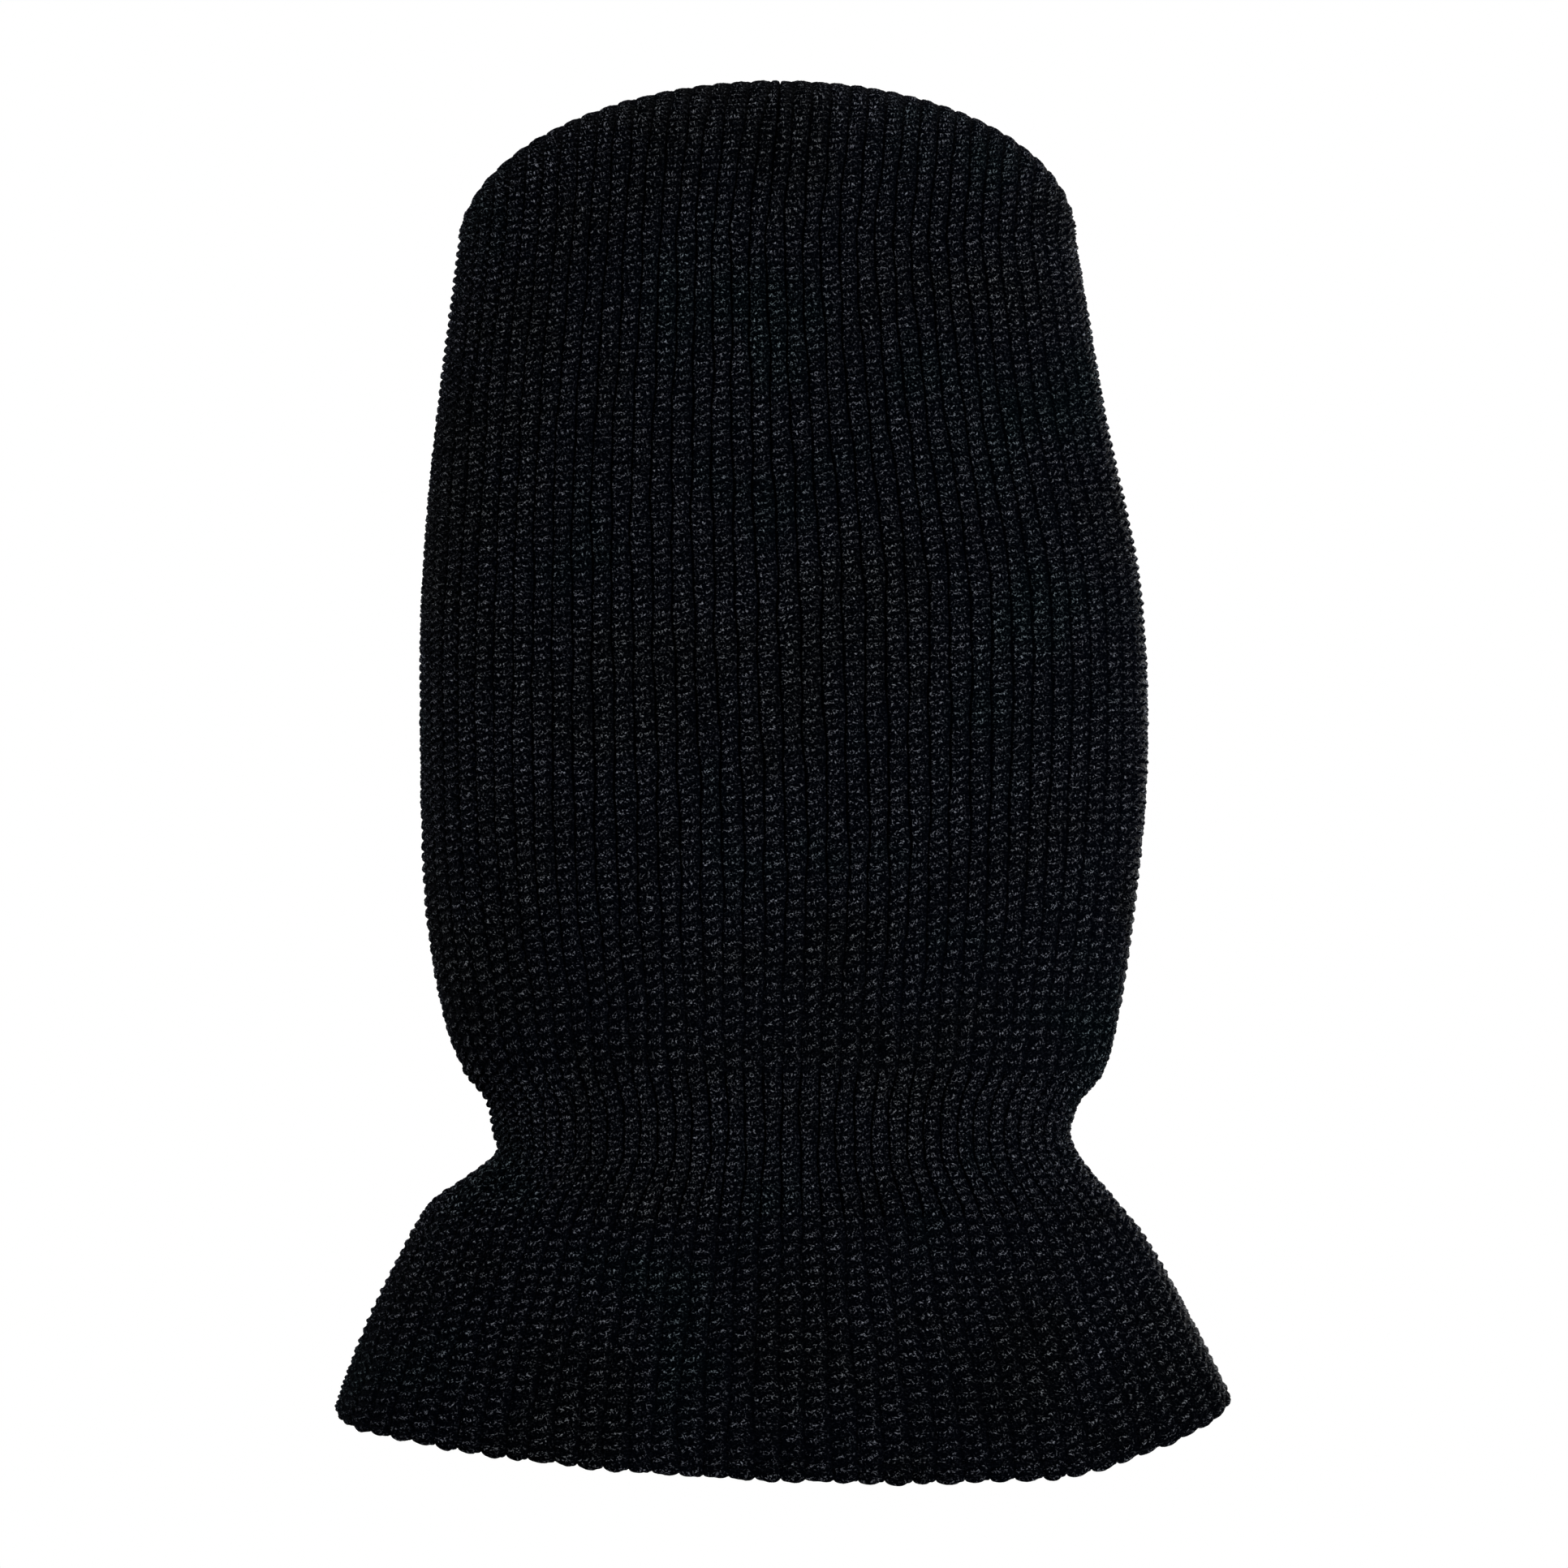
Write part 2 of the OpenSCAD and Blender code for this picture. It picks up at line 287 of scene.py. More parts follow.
# Height of the knit across one rib, from groove to groove.
RIB_X = [0, 0.02, 0.05, 0.10, 0.56, 0.66, 0.73, 0.79, 0.93, 0.98, 1]
RIB_Z = [-1.9, -1.5, -0.40, 0.0, 0.0, -0.35, -0.60, -0.25, -0.30, -1.3, -1.9]
STITCHES = rng.random((2 * RIBS + 4, 200, 3))  # random numbers for each stitch

S_STEP = 0.1
S_TABLE = np.linspace(0, DEEPEST, round(DEEPEST / S_STEP) + 1)
COURSE_TABLE = np.append(0, np.cumsum(S_STEP / np.interp(S_TABLE[:-1] + S_STEP / 2, PITCH_S, PITCH)))


def course_at(s):
    """How many courses lie above the depth s."""
    return np.interp(s, S_TABLE, COURSE_TABLE)


def relief(rib, course, pitch, side, stretch=0.0):
    """Height of the knit over the wall at a place counted in ribs and courses.

    Where the courses are far apart, or with stretch, the grooves between the ribs are shallow and round
    and the strands look thinner; where they are tight, the strands nearly touch.
    """
    rho = rib % 1
    index = np.floor(rib).astype(int) % RIBS + np.where(side > 0, 0, RIBS + 1)
    lag = 0.2 * (STITCHES[index, 0, 0] - 0.5) + 0.1 * np.sin(course / 6 + index)

    loose = np.clip(np.maximum((pitch - LOOSE_PITCH) * 1.1, stretch), 0, 0.85)
    tight = np.clip((TIGHT_PITCH - pitch) * 10, 0, 1)
    share = STRAND_SHARE * (1.02 - 0.16 * loose + 0.14 * tight)

    def strand(phase, which):
        """Rounded strands, one in each course, each stitch with its own size."""
        turn = phase % 1
        number = np.floor(phase).astype(int) % STITCHES.shape[1]
        size = 0.8 + 0.35 * STITCHES[index, number, which]
        return size * np.sqrt(np.clip(1 - ((2 * turn - 1) / share) ** 2, 0, 1))

    across = (rho - LOOPS_AT) / LOOPS_HALF
    loops = strand(course + lag + 0.18 * across + 0.10 * across**2, 1)
    loop_window = np.clip(1 - across**4, 0, 1)
    legs_across = (rho - LEGS_AT) / LEGS_HALF
    legs = strand(course + lag + 0.3 - 0.22 * legs_across, 2)
    leg_window = np.clip(1 - legs_across**4, 0, 1)
    round_rib = 0.8 * np.sin(np.pi * rho) ** 0.45 - 0.9
    return (
        np.interp(rho, RIB_X, RIB_Z) * (1 - loose)
        + round_rib * loose
        + loop_window * (1.05 * loops - 0.75)
        + leg_window * (0.6 * legs - 0.62)
    )


def roughened(lift):
    return lift + rng.normal(0, UNEVEN, lift.shape)


def course_wave(columns, level):
    """How far the courses bow off level, in courses, on the back; the front's bow the other way."""
    return 0.25 * np.sin(columns * 17 + level / 31) + 0.2 * np.sin(columns * 7 - level / 47)


def rows_between(s_from, s_to):
    """Depths of an odd number of rows, evenly spaced in courses."""
    start, end = course_at(s_from), course_at(s_to)
    half_count = round((end - start) * ROWS_PER_COURSE / 2)
    return np.interp(np.linspace(start, end, 2 * half_count + 1), COURSE_TABLE, S_TABLE)


# ================================================================ meshes
# The baked texture is shared by two grids, side by side or one over the other, with a margin.
MARGIN = 0.005
WHOLE_SIDE = 1 - 2 * MARGIN
HALF_SIDE = 0.5 - 2 * MARGIN


def add_mesh(name, points, quads):
    """A new object from points in millimetres and quads."""
    mesh = bpy.data.meshes.new(name)
    mesh.vertices.add(len(points))
    mesh.vertices.foreach_set("co", (points * MM).astype(np.float32).ravel())
    mesh.loops.add(quads.size)
    mesh.loops.foreach_set("vertex_index", quads.astype(np.int32).ravel())
    mesh.polygons.add(len(quads))
    mesh.polygons.foreach_set("loop_start", np.arange(0, quads.size, 4, dtype=np.int32))
    mesh.polygons.foreach_set("use_smooth", np.ones(len(quads), bool))
    mesh.update(calc_edges=True)
    obj = bpy.data.objects.new(name, mesh)
    bpy.context.collection.objects.link(obj)
    return obj


def keep_yarn_place(obj, across, down, lift):
    """Stores each point's place on the flat knit and its height, in millimetres, for the material."""
    # The material also paints shade by this height: low places are painted near black.
    layer = obj.data.attributes.new("knit", "FLOAT_VECTOR", "POINT")
    values = np.stack([across.ravel(), down.ravel(), lift.ravel()], axis=-1)
    layer.data.foreach_set("vector", values.astype(np.float32).ravel())


def keep_uv(obj, quads, u, v):
    """A flat layout of the piece for baked textures."""
    layer = obj.data.uv_layers.new(name="OFBake")
    corner = quads.ravel()
    layer.data.foreach_set("uv", np.stack([u[corner], v[corner]], axis=-1).astype(np.float32).ravel())


def grid_quads(rows, cols):
    r, c = np.meshgrid(np.arange(rows - 1), np.arange(cols - 1), indexing="ij")
    a = (r * cols + c).ravel()
    return np.stack([a, a + cols, a + cols + 1, a + 1], axis=1)


def rim(rows, cols):
    """Indices round the edge of a grid, in order, each once."""
    top = np.arange(cols)
    right = np.arange(1, rows) * cols + cols - 1
    bottom = (rows - 1) * cols + np.arange(cols - 2, -1, -1)
    left = np.arange(rows - 2, 0, -1) * cols
    return np.concatenate([top, right, bottom, left])


def flat_layout(rows, cols, corner, size):
    """Places of a grid's points in a rectangle of the baked texture."""
    u, v = np.meshgrid(np.linspace(0, 1, cols), np.linspace(0, 1, rows))
    return np.stack([corner[0] + size[0] * u.ravel(), corner[1] + size[1] * v.ravel()])


def knit_mesh(name, grids, quads, layouts):
    """One knitted piece; each grid is its points, places across and down the flat knit, and heights."""
    quads = np.concatenate(quads)
    obj = add_mesh(name, np.concatenate([grid[0].reshape(-1, 3) for grid in grids]), quads)
    across, down, lift = (np.concatenate([grid[k].ravel() for grid in grids]) for k in (1, 2, 3))
    keep_yarn_place(obj, across, down, lift)
    keep_uv(obj, quads, *np.concatenate(layouts, axis=1))
    return obj


def two_faced(name, outer, inner, flip, cut=None):
    """A wall from an outer grid and an inner grid half as fine, joined round their edges.

    cut removes quads by their middles.
    """
    quads, layouts = [], []
    start = 0
    for number, grid in enumerate((outer, inner)):
        rows, cols = grid[1].shape
        faces = grid_quads(rows, cols)
        if cut is not None:
            faces = faces[~cut(grid[0].reshape(-1, 3)[faces].mean(axis=1))]
        quads.append((faces[:, ::-1] if flip == (number == 0) else faces) + start)
        layouts.append(flat_layout(rows, cols, (MARGIN + number / 2, MARGIN), (HALF_SIDE, WHOLE_SIDE)))
        start += rows * cols
    edge_out = rim(*outer[1].shape)[::2]
    edge_in = rim(*inner[1].shape) + outer[1].size
    strip = np.stack([edge_out, np.roll(edge_out, -1), np.roll(edge_in, -1), edge_in], axis=1)
    quads.append(strip[:, ::-1] if flip else strip)
    return knit_mesh(name, (outer, inner), quads, layouts)


def every_other(grid):
    return grid[::2, ::2]


def knit_grid(columns, s, course, side, inset):
    """One face of a knitted wall: points, ribs, courses and heights."""
    place, normal = tube_surface(columns, s, inset, side)
    rib = columns * RIBS
    lift = roughened(relief(rib, course, np.interp(s, PITCH_S, PITCH), side))
    out = -1 if inset else 1
    return place + out * normal * (lift + PROUD)[..., None], rib * RIB_W, s, lift


def knit_panel(name, side, columns, s, level, cut=None):
    """A panel of the hood or skirt; level is the depth that its courses are counted by."""
    course = course_at(level) + course_wave(columns, level) * side
    outer = knit_grid(columns, s, course, side, 0)
    inner = knit_grid(every_other(columns), every_other(s), every_other(course), side, WALL)
    return two_faced(name, outer, inner, side < 0, cut)


def tube_panel(name, side, s_from, s_to, cut=None):
    columns, s = np.meshgrid(COLUMNS, rows_between(s_from, s_to))
    return knit_panel(name, side, columns, s, s, cut)


def skirt_s(columns, level):
    """Depth of a place in the skirt; level is its depth if the hem were level."""
    share = (level - NECK_BOTTOM_S) / (HEM_DROP - NECK_BOTTOM_S)
    return NECK_BOTTOM_S + share * (hem_s(columns) - NECK_BOTTOM_S)


def skirt_panel(name, side):
    columns, level = np.meshgrid(COLUMNS, rows_between(NECK_BOTTOM_S, HEM_TOP))
    return knit_panel(name, side, columns, skirt_s(columns, level), level)


def in_opening(points):
    """True for points within the openings' cut edges, which lie under their bindings."""
    inside = np.zeros(len(points), bool)
    for drop, x, w, h in OPENINGS.values():
        across = (points[:, 0] - middle(drop) - x) / ((w + BINDING_T) / 2)
        up = (points[:, 2] - height(drop)) / ((h + BINDING_T) / 2)
        inside |= across**2 + up**2 < 1
    return inside


def crown_piece():
    """The crown, from the back shoulder over the top to the front shoulder."""
    columns, turn = np.meshgrid(COLUMNS, np.linspace(0, math.pi, CROWN_ROWS))
    place, _ = crown_surface(columns, turn, 0)
    steps = np.linalg.norm(np.diff(place, axis=0), axis=-1)
    run = np.concatenate([np.zeros((1, steps.shape[1])), np.cumsum(steps, axis=0)])
    up = np.minimum(run, run[-1] - run)
    wave = course_wave(columns, SHOULDER_S) * np.cos(turn)
    course = course_at(SHOULDER_S) - up / PITCH[0] + wave
    # the dart: near the middle the ribs close in on its seam as they go up
    offset = 2 * columns - 1
    closing = 0.5 * (up / up.max()) ** 1.3 * np.exp(-np.abs(offset) * 4)
    rib = columns * RIBS + np.sign(offset) * closing
    crease = -0.5 * np.exp(-((offset * RIBS / 2 / 0.12) ** 2)) * np.clip(up / 25, 0, 1)
    over = smooth((turn - math.pi / 2) / 0.16 + 0.5)
    crest = smooth(1.0 - np.abs(turn - math.pi / 2) / 0.65)  # the ribs are stretched flatter on top

    def face(pick, inset):
        place, normal = crown_surface(columns[pick], turn[pick], inset)
        behind = relief(rib[pick], course[pick], PITCH[0], 1, crest[pick])
        ahead = relief(rib[pick], course[pick], PITCH[0], -1, crest[pick])
        lift = (behind * (1 - over[pick]) + ahead * over[pick]) * (1 - 0.45 * crest[pick])
        lift = roughened(lift + crease[pick] - 0.3 * crest[pick])
        out = -1 if inset else 1
        along = rib[pick] * RIB_W, SHOULDER_S - up[pick] + 300 * inset
        return place + out * normal * (lift + PROUD)[..., None], *along, lift

    whole = (slice(None), slice(None))
    coarse = (slice(None, None, 2), slice(None, None, 2))
    return two_faced("knit_crown", face(whole, 0), face(coarse, WALL), True)


def hem_piece():
    """The bound-off hem: the knit turns round its own edge, and each rib ends in a small scallop."""
    r = WALL / 2 + 0.1
    straight = HEM_H - r
    # down the outside, round the edge and up the inside
    run = np.linspace(0, 2 * straight + math.pi * r, HEM_ROWS)
    turn = np.clip((run - straight) / r, 0, math.pi)
    level = HEM_TOP + np.minimum(np.minimum(run, run[-1] - run), straight) + r * np.sin(turn)
    columns, turns = np.meshgrid(COLUMNS, turn)
    levels = np.broadcast_to(level[:, None], columns.shape)
    runs = np.broadcast_to(run[:, None], columns.shape)
    rib = columns * RIBS
    bulge = 0.3 + 0.6 * STITCHES[np.floor(rib).astype(int) % RIBS, 1, 0]
    scallop = bulge * np.sin(np.pi * (rib % 1)) ** 0.7 - 0.4
    s = skirt_s(columns, levels) + scallop * np.sin(turns)
    grids, quads, layouts = [], [], []
    for number, side in enumerate((1, -1)):
        surface, normal = tube_surface(columns, s, 0, side)
        place = surface - normal * (WALL / 2 - r * np.cos(turns))[..., None]
        outward = normal * np.cos(turns)[..., None] + np.array([0, 0, -1]) * np.sin(turns)[..., None]
        course = course_at(HEM_TOP) + course_wave(columns, HEM_TOP) * side + runs / PITCH[-1]
        lift = roughened(relief(rib, course, PITCH[-1], side)) * (1 - 0.45 * np.sin(turns))
        grids.append((place + outward * (lift + PROUD)[..., None], rib * RIB_W, HEM_TOP + runs, lift))
        faces = grid_quads(*s.shape)
        quads.append((faces if side > 0 else faces[:, ::-1]) + number * s.size)
        layouts.append(flat_layout(*s.shape, (MARGIN, MARGIN + number / 2), (WHOLE_SIDE, HALF_SIDE)))
    return knit_mesh("knit_hem", grids, quads, layouts)


# ---------------------------------------------------------------- bindings, seams and label
def swept(name, path, radius, closed):
    """A tube along path, whose radius is a grid of rings by places round the tube."""
    n, m = radius.shape
    if closed:
        along = unit(np.roll(path, -1, axis=0) - np.roll(path, 1, axis=0))
    else:
        along = unit(np.gradient(path, axis=0))
    across = np.where(np.abs(along[:, 1:2]) > 0.8, [[1.0, 0, 0]], [[0, 1.0, 0]])
    right = unit(np.cross(along, across))
    up = np.cross(right, along)
    turn = np.arange(m) * 2 * math.pi / m
    rings = np.cos(turn)[None, :, None] * right[:, None] + np.sin(turn)[None, :, None] * up[:, None]
    points = path[:, None] + radius[..., None] * rings
    i, k = np.meshgrid(np.arange(n if closed else n - 1), np.arange(m), indexing="ij")
    a, b = i * m + k, i * m + (k + 1) % m
    c, d = ((i + 1) % n) * m + (k + 1) % m, ((i + 1) % n) * m + k
    quads = np.stack([a.ravel(), b.ravel(), c.ravel(), d.ravel()], axis=1)
    return add_mesh(name, points.reshape(-1, 3), quads)


def run_along(path, closed):
    ends = np.roll(path, -1, axis=0) if closed else path[1:]
    steps = np.linalg.norm(ends - path[: len(ends)], axis=1)
    return np.append(0, np.cumsum(steps))


def binding_piece(name, drop, x, w, h):
    """The rolled edge of an opening, wrapped in overlapping stitches."""
    turn = np.linspace(0, 2 * math.pi, 520, endpoint=False)
    px = middle(drop) + x + (w + BINDING_T) / 2 * np.cos(turn)
    pz = height(drop) + (h + BINDING_T) / 2 * np.sin(turn)
    s = WALL - pz
    side_share = np.abs(px - middle(s)) / (half_w(s) - WALL / 2)
    py = -(half_d(s) - WALL / 2) * (1 - side_share**SQUARENESS) ** (1 / SQUARENESS)
    path = np.stack([px, py, pz], axis=-1)
    run = run_along(path, closed=True)
    wraps = round(run[-1] / WRAP)
    around = np.arange(30) / 30
    phase = run[:-1, None] / run[-1] * wraps + around[None, :]
    number = np.floor(phase).astype(int) % wraps
    size = 0.8 + 0.4 * STITCHES[3, number % STITCHES.shape[1], 0]
    lift = size * np.sqrt(np.clip(1 - ((2 * (phase % 1) - 1) / 0.85) ** 2, 0, 1))
    lift = lift + rng.normal(0, 0.04, lift.shape)
    obj = swept(name, path, BINDING_T / 2 - 0.55 + 0.9 * lift, closed=True)
    keep_yarn_place(obj, phase * WRAP, around[None, :] * BINDING_ROUND + 0 * phase, 1.1 * lift - 1.0)
    return obj


def twisted_yarn(name, path, radius, lay=5.0):
    """Two-ply yarn along an open path, with rounded ends."""
    run = run_along(path, closed=False)
    around = np.arange(16) * 2 * math.pi / 16
    ply = np.abs(np.cos(around[None, :] - run[:, None] * math.pi / lay))
    ends = np.minimum(run, run[-1] - run)
    rounded = np.sqrt(np.clip(1 - (1 - ends / radius) ** 2, 0.0004, 1))
    taper = np.where(ends < radius, rounded, 1.0)
    grid = radius * (0.66 + 0.34 * ply) * taper[:, None]
    obj = swept(name, path, grid, closed=False)
    keep_yarn_place(obj, run[:, None] + 0 * grid, around[None, :] * radius + 0 * grid, ply * 0.9 - 0.7)
    return obj


def side_path(s_rows, side):
    x = middle(s_rows) + side * (half_w(s_rows) - SEAM_INSET)
    return np.stack([x, 0 * x, height(s_rows)], axis=-1)


def hood_seam(name, side):
    return twisted_yarn(name, side_path(np.arange(60, 274.1, 0.6), side), SEAM_R)


def skirt_seam(name, side):
    """From just below the neck band to just above the hem."""
    end = hem_s(0.0 if side > 0 else 1.0)
    share = np.arange(0.12, 0.82, 0.008)
    return twisted_yarn(name, side_path(NECK_BOTTOM_S + share * (end - NECK_BOTTOM_S), side), SEAM_R)


def crown_seam():
    turn = np.radians(np.arange(-70, 70.1, 0.7))
    y = (half_d(SHOULDER_S) - SEAM_INSET) * np.sin(turn)
    z = height(SHOULDER_S) + (SHOULDER_S - SEAM_INSET) * np.cos(turn)
    return twisted_yarn("crown_seam_yarn", np.stack([0 * y + CROWN_LEAN, y, z], axis=-1), SEAM_R)


# Where the label hangs: the middle of its top edge, at its front.
label_x = float(middle(LABEL_S))
label_y = float(half_d(LABEL_S)) - WALL - LABEL_GAP - LABEL_T
label_z = height(LABEL_S)


def care_label():
    """A blank satin ribbon, folded in two and hung by its cut ends."""
    bend = LABEL_T / 2 - RIBBON_T
    straight = np.linspace(0, LABEL_H - bend - RIBBON_T, 24)
    turn = np.linspace(0, math.pi, 14)
    lowest = -straight[-1]
    z = np.concatenate([-straight, lowest - bend * np.sin(turn[1:-1]), -straight[::-1]])
    y = np.concatenate([0 * straight + bend, bend * np.cos(turn[1:-1]), 0 * straight - bend])
    tangent = unit(np.stack([np.gradient(y), np.gradient(z)], axis=-1))
    faces, points = [], []
    across = np.linspace(-LABEL_W / 2, LABEL_W / 2, 30)
    for number, offset in enumerate((RIBBON_T / 2, -RIBBON_T / 2)):
        face_y = label_y + LABEL_T / 2 + y + tangent[:, 1] * offset
        face_z = label_z + z - tangent[:, 0] * offset
        place = np.broadcast_arrays(label_x + across[None, :], face_y[:, None], face_z[:, None])
        grid = np.stack(place, axis=-1)
        points.append(grid.reshape(-1, 3))
        rows, cols = grid.shape[:2]
        quads = grid_quads(rows, cols)
        faces.append((quads[:, ::-1] if number == 0 else quads) + number * rows * cols)
    edge = rim(rows, cols)
    back = edge + rows * cols
    faces.append(np.stack([edge, np.roll(edge, -1), np.roll(back, -1), back], axis=1))
    return add_mesh("satin_label", np.concatenate(points), np.concatenate(faces))


def label_stitch(number):
    """A loop of yarn from the front of the label over its top edge into the knit."""
    turn = np.linspace(-0.35, 1.0, 40) * math.pi
    start_y = label_y + LABEL_T + LABEL_GAP / 2
    reach = (LABEL_T + LABEL_GAP + 0.8) / 2
    x = label_x + (number - 1.5) * LABEL_W / 4 + 0 * turn
    y = start_y - 0.4 - reach * np.cos(turn * 0.75 + 0.1)
    z = label_z - 0.8 + 1.1 * np.sin(turn * 0.75 + 0.1)
    return twisted_yarn(f"label_stitch_{number + 1}", np.stack([x, y, z], axis=-1), 0.5, lay=1.6)


# ================================================================ pieces
crown = crown_piece()
hood_back = tube_panel("knit_hood_back", 1, SHOULDER_S, NECK_TOP_S)
hood_front = tube_panel("knit_hood_front", -1, SHOULDER_S, NECK_TOP_S, in_opening)
neck_back = tube_panel("knit_neck_band_back", 1, NECK_TOP_S, NECK_BOTTOM_S)
neck_front = tube_panel("knit_neck_band_front", -1, NECK_TOP_S, NECK_BOTTOM_S)
skirt_back = skirt_panel("knit_skirt_back", 1)
skirt_front = skirt_panel("knit_skirt_front", -1)
hem = hem_piece()
knit_pieces = [crown, hood_back, hood_front, neck_back, neck_front, skirt_back, skirt_front, hem]
for piece, node in ((crown, "crown"), (hood_back, "hood_back"), (hood_front, "hood_front")):
    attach(piece, "hood")
    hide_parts(node)
for piece in (neck_back, neck_front):
    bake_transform(piece)
    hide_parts("neck_band")
for piece, node in ((skirt_back, "skirt_back"), (skirt_front, "skirt_front"), (hem, "hem_edge")):
    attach(piece, "skirt")
    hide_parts(node)

bindings = []
for node, (drop, x, w, h) in OPENINGS.items():
    piece = binding_piece(node.replace("binding", "edging"), drop, x, w, h)
    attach(piece, "hood")
    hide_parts(node)
    bindings.append(piece)

seams = []
for node, body, piece in (
    ("left_hood_seam", "hood", hood_seam("left_hood_seam_yarn", 1)),
    ("right_hood_seam", "hood", hood_seam("right_hood_seam_yarn", -1)),
    ("crown_seam", "hood", crown_seam()),
    ("left_skirt_seam", "skirt", skirt_seam("left_skirt_seam_yarn", 1)),
    ("right_skirt_seam", "skirt", skirt_seam("right_skirt_seam_yarn", -1)),
):
    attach(piece, body)
    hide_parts(node)
    seams.append(piece)

label = care_label()
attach(label, "label")
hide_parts("care_label")
for number in range(4):
    piece = label_stitch(number)
    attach(piece, "skirt")
    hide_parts("label_stitches")
    seams.append(piece)


# ================================================================ materials
class Graph:
    """Shorthand for building one material's nodes."""

    def __init__(self, name):
        self.material = bpy.data.materials.new(name)
        self.material.use_nodes = True
        self.tree = self.material.node_tree
        self.shader = self.tree.nodes["Principled BSDF"]

    def node(self, kind, **settings):
        node = self.tree.nodes.new("ShaderNode" + kind)
        for key, value in settings.items():
            setattr(node, key, value)
        return node

    def link(self, source, target):
        self.tree.links.new(source, target)

    def noise(self, vector, scale, detail=3.0, roughness=0.6):
        node = self.node("TexNoise")
        self.link(vector, node.inputs["Vector"])
        node.inputs["Scale"].default_value = scale
        node.inputs["Detail"].default_value = detail
        node.inputs["Roughness"].default_value = roughness
        return node.outputs["Fac"]

    def scaled(self, vector, scale):
        node = self.node("Mapping")
        self.link(vector, node.inputs["Vector"])
        node.inputs["Scale"].default_value = scale
        return node.outputs["Vector"]

    def streaks(self, place, lean, size):
        """Noise drawn out to size, a length and a width, and turned by lean."""
        node = self.node("Mapping", vector_type="TEXTURE")
        self.link(place, node.inputs["Vector"])
        node.inputs["Rotation"].default_value = (0, 0, lean)
        node.inputs["Scale"].default_value = (*size, 1000)
        return self.noise(node.outputs["Vector"], 1.0, detail=1.0, roughness=0.4)

    def range(self, value, low, high):
        """value spread from low..high to 0..1, smoothly."""
        node = self.node("MapRange", interpolation_type="SMOOTHSTEP")
        self.link(value, node.inputs["Value"])
        node.inputs["From Min"].default_value = low
        node.inputs["From Max"].default_value = high
        return node.outputs["Result"]

    def math(self, operation, a, b):
        """a and b are sockets or plain numbers."""
        node = self.node("Math", operation=operation)
        for socket, value in zip(node.inputs, (a, b)):
            if isinstance(value, float):
                socket.default_value = value
            else:
                self.link(value, socket)
        return node.outputs["Value"]

    def times(self, a, b):
        return self.math("MULTIPLY", a, b)

    def add(self, a, b):
        return self.math("ADD", a, b)

    def mix(self, factor, a, b):
        """Mix of two colours, each a socket or a plain colour."""
        node = self.node("Mix", data_type="RGBA")
        self.link(factor, node.inputs[0])
        for socket, value in ((node.inputs[6], a), (node.inputs[7], b)):
            if isinstance(value, tuple):
                socket.default_value = (*value, 1)
            else:
                self.link(value, socket)
        return node.outputs[2]

    def bump(self, height_value, strength, distance):
        node = self.node("Bump")
        node.inputs["Strength"].default_value = strength
        node.inputs["Distance"].default_value = distance
        self.link(height_value, node.inputs["Height"])
        self.link(node.outputs["Normal"], self.shader.inputs["Normal"])


FIBRE = (0.95, 0.42)  # length and width of a fibre that shows, in millimetres
GLINT = (0.615, 0.765)  # part of the fibres' noise that is painted as highlights, where the fibres would catch the light
# Painted colours: near-black painted shade in the gaps and a painted highlight where the fibres catch
# the light, of plain yarn and of its violet and teal patches.
NEUTRAL = ((0.0003, 0.0005, 0.0011), (0.173, 0.183, 0.200))
VIOLET = ((0.0003, 0.0006, 0.0016), (0.173, 0.181, 0.217))
TEAL = ((0.0002, 0.0008, 0.0015), (0.143, 0.183, 0.204))


def yarn_material(name):
    """Black yarn: painted highlights of short fibres on top of the strands, fading into painted shade in
    the gaps.
    """
    g = Graph(name)
    place = g.node("Attribute", attribute_name="knit").outputs["Vector"]
    parts = g.node("SeparateXYZ")
    g.link(place, parts.inputs["Vector"])
    fibres = g.streaks(place, math.radians(15), FIBRE)
    for lean in (75, 135):
        fibres = g.math("MAXIMUM", fibres, g.streaks(place, math.radians(lean), FIBRE))
    # Painted highlights: the fibres' noise, cut off sharply, is painted as bright glints where the
    # fibres would catch the light.
    painted_glints = g.range(fibres, *GLINT)
    # Painted shade: low places in the knit's height, the gaps between courses and the grooves between
    # ribs, are painted near black; the tops of the strands keep the painted highlights.
    lit_strand_tops = g.range(parts.outputs["Z"], -0.85, 0.15)
    lit_above_grooves = g.range(parts.outputs["Z"], -1.5, -0.9)
    painted_relief_shading = g.add(g.times(lit_strand_tops, 0.95), g.times(lit_above_grooves, 0.05))
    coordinates = g.node("TexCoord").outputs["Object"]
    violet = g.range(g.noise(coordinates, 20, detail=3), 0.36, 0.54)
    teal = g.range(g.noise(coordinates, 20, detail=3), 0.53, 0.72)
    # The first colour of each pair is painted shade, the second a painted highlight; the violet and teal
    # patches are the yarn's own hue.
    painted_shade_colour, painted_highlight_colour = (g.mix(teal, g.mix(violet, NEUTRAL[k], VIOLET[k]), TEAL[k]) for k in (0, 1))
    # Random large patches where the painted highlights are stronger or weaker.
    highlight_patches = g.add(g.times(g.noise(coordinates, 30, detail=2), 1.2), 0.4)
    g.link(g.mix(g.times(g.times(painted_glints, painted_relief_shading), highlight_patches), painted_shade_colour, painted_highlight_colour), g.shader.inputs["Base Color"])
    g.shader.inputs["Roughness"].default_value = 0.6
    g.shader.inputs["Specular IOR Level"].default_value = 0.005
    g.bump(fibres, 0.8, 0.0005)
    return g.material


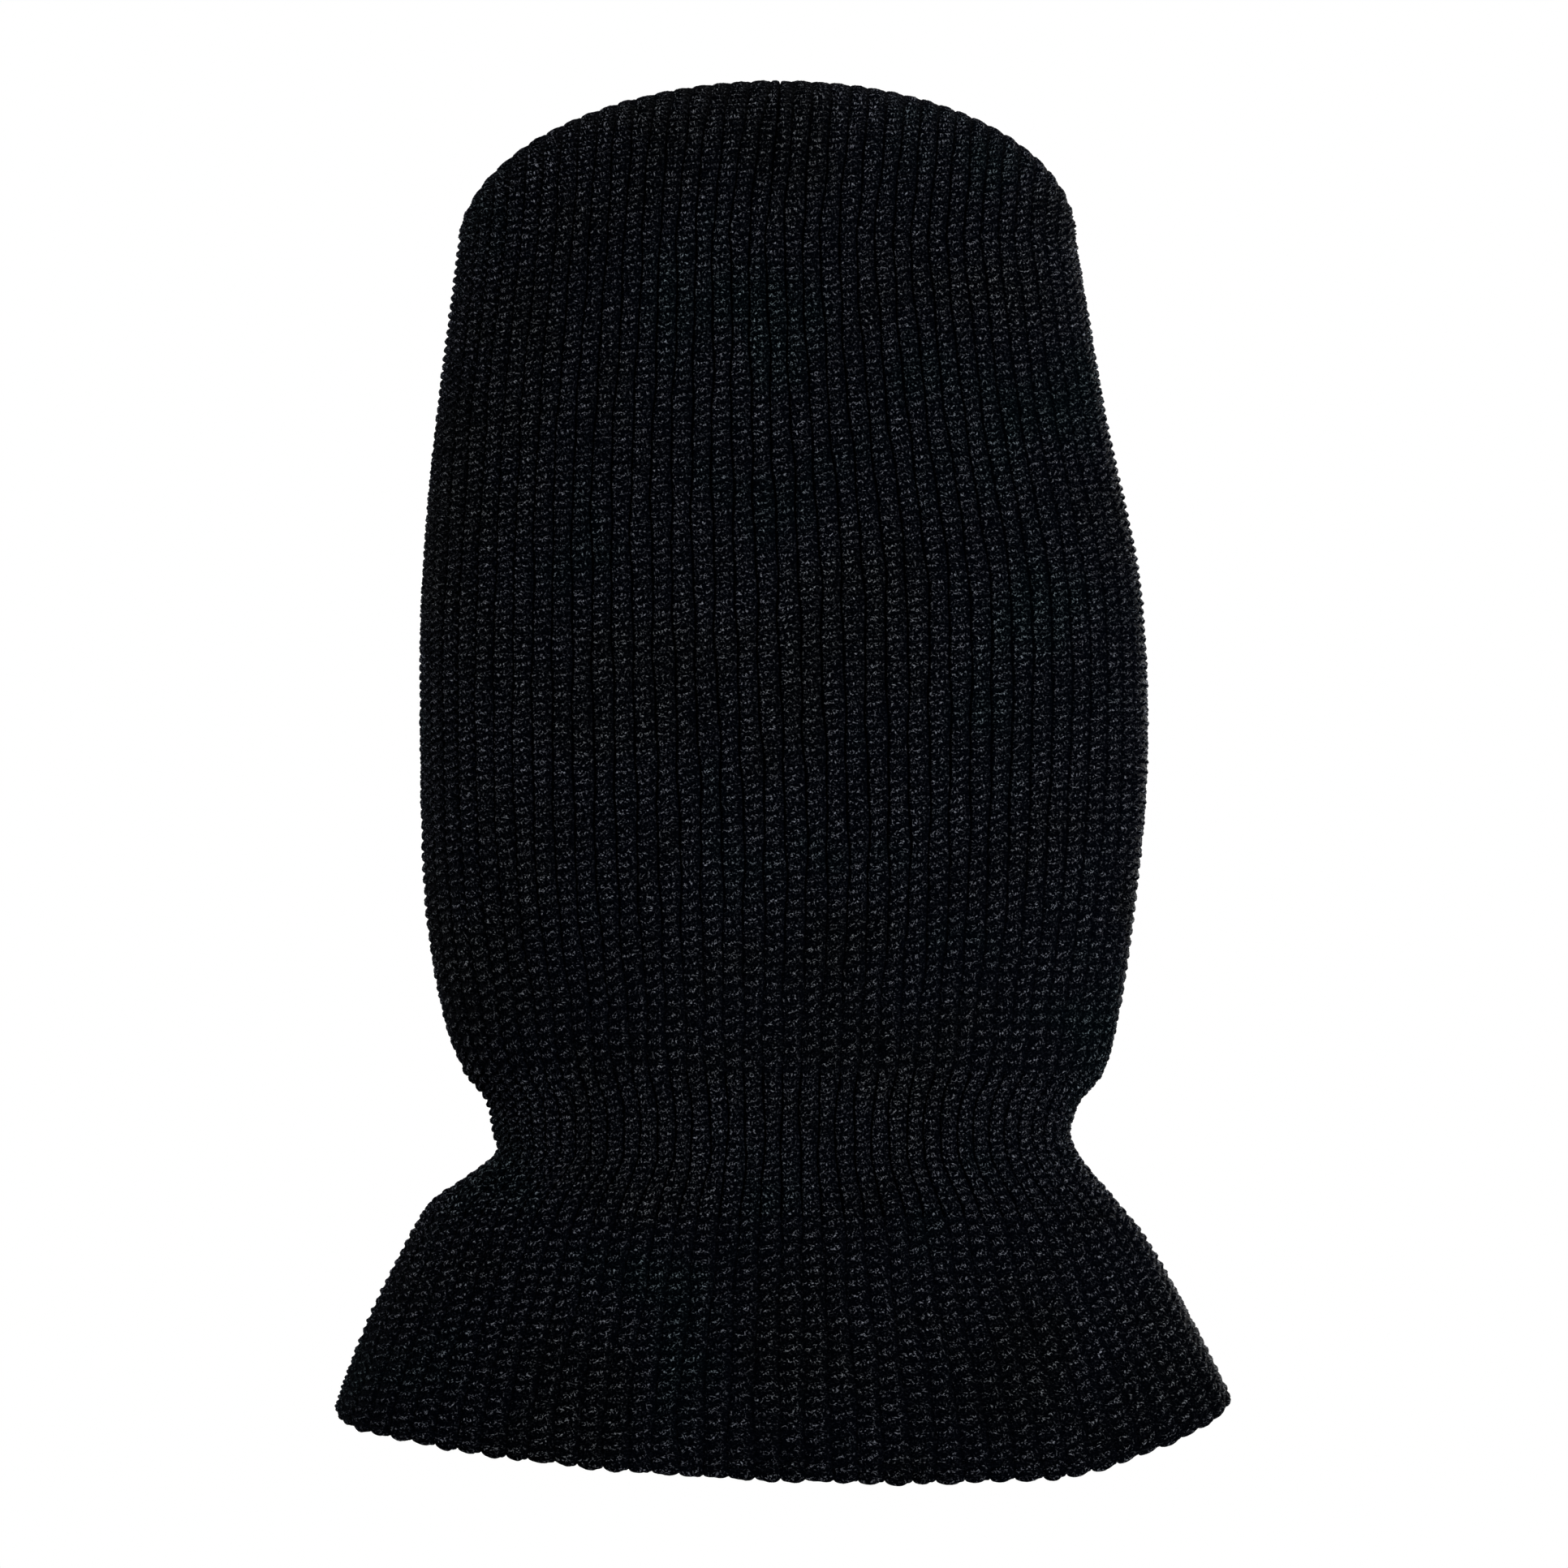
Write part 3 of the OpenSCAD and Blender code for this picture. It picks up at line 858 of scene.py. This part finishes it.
def satin_material():
    """Satin ribbon: fine lengthwise floats with a soft gloss."""
    g = Graph("black_satin")
    coordinates = g.node("TexCoord").outputs["Object"]
    floats = g.noise(g.scaled(coordinates, (5200, 600, 900)), 1.0, detail=2)
    g.link(g.mix(floats, (0.010, 0.010, 0.013), (0.05, 0.05, 0.06)), g.shader.inputs["Base Color"])
    g.shader.inputs["Roughness"].default_value = 0.32
    g.shader.inputs["Sheen Weight"].default_value = 0.1
    g.bump(floats, 0.4, 0.0001)
    return g.material


for pieces, material in (
    (knit_pieces, yarn_material("black_knit_yarn")),
    (bindings, yarn_material("black_edging_yarn")),
    (seams, yarn_material("black_seam_yarn")),
    ([label], satin_material()),
):
    for piece in pieces:
        piece.data.materials.append(material)


# ================================================================ studio
FLOOR_Z = -0.46
FLOOR_REACH = 0.85  # the floor's painted glow is full by here, and it fades into the backdrop
FLOOR_NEAR = 0.3  # and the fade begins here
AMBIENT = 0.09  # light from all round, against a backdrop of 1
AIM = Vector((0, 0, -0.2))  # all lights point here
# Place, size across and watts of each soft light.
LIGHTS = {
    "key": ((-1.15, 1.65, -0.3), 0.7, 49),
    "front_key": ((-0.7, -1.8, 0.1), 0.8, 58),
    "side_fill": ((1.9, -0.3, 0.2), 0.8, 32),
    "top_fill": ((-0.3, -0.5, 1.5), 0.9, 22),
}
CAMERA_DISTANCE = 5.0
VIEW_SIZE = 0.4459  # width of the view at the hood


def make_floor():
    bpy.ops.mesh.primitive_plane_add(size=2 * FLOOR_REACH, location=(0, 0, FLOOR_Z))
    floor = bpy.context.object
    floor.name = "floor"
    g = Graph("pale_floor")
    away = g.node("VectorMath", operation="LENGTH")
    g.link(g.node("TexCoord").outputs["Object"], away.inputs[0])
    # Painted light: the floor glows on its own, at half strength within FLOOR_NEAR of the middle and
    # rising to full strength by FLOOR_REACH, where it matches the white backdrop; the lamps' shadows
    # show in the dimmer middle.
    glow = g.add(g.times(g.range(away.outputs["Value"], FLOOR_NEAR, FLOOR_REACH), 0.5), 0.5)
    g.link(glow, g.shader.inputs["Emission Strength"])
    g.shader.inputs["Base Color"].default_value = (0.9, 0.9, 0.9, 1)
    g.shader.inputs["Roughness"].default_value = 0.9
    g.shader.inputs["Specular IOR Level"].default_value = 0.1
    g.shader.inputs["Emission Color"].default_value = (1, 1, 1, 1)
    floor.data.materials.append(g.material)
    floor.visible_diffuse = False
    floor.visible_glossy = False


def make_world():
    """A white backdrop that gives soft, low light."""
    world = bpy.data.worlds.new("studio")
    bpy.context.scene.world = world
    world.use_nodes = True
    nodes, links = world.node_tree.nodes, world.node_tree.links
    light = nodes["Background"]
    light.inputs["Color"].default_value = (0.97, 0.98, 1, 1)
    light.inputs["Strength"].default_value = AMBIENT
    backdrop = nodes.new("ShaderNodeBackground")
    backdrop.inputs["Color"].default_value = (1, 1, 1, 1)
    seen = nodes.new("ShaderNodeLightPath")
    mix = nodes.new("ShaderNodeMixShader")
    links.new(seen.outputs["Is Camera Ray"], mix.inputs[0])
    links.new(light.outputs[0], mix.inputs[1])
    links.new(backdrop.outputs[0], mix.inputs[2])
    links.new(mix.outputs[0], nodes["World Output"].inputs["Surface"])


def add_light(name, place, size, watts):
    data = bpy.data.lights.new(name, "AREA")
    data.size = size
    data.energy = watts
    lamp = bpy.data.objects.new(name, data)
    lamp.location = place
    lamp.visible_camera = False
    lamp.rotation_euler = (AIM - Vector(place)).to_track_quat("-Z", "Y").to_euler()
    bpy.context.collection.objects.link(lamp)


def make_camera():
    """Level with the hood and straight behind it, through a long lens."""
    data = bpy.data.cameras.new("camera")
    data.sensor_width = 36
    data.lens = data.sensor_width * CAMERA_DISTANCE / VIEW_SIZE
    camera = bpy.data.objects.new("camera", data)
    camera.location = (-0.0005, CAMERA_DISTANCE, -0.1961)
    camera.rotation_euler = (math.pi / 2, 0, math.pi)
    bpy.context.collection.objects.link(camera)
    bpy.context.scene.camera = camera


make_floor()
make_world()
for light_name, light in LIGHTS.items():
    add_light(light_name, *light)
make_camera()
bpy.context.scene.view_settings.view_transform = "Standard"
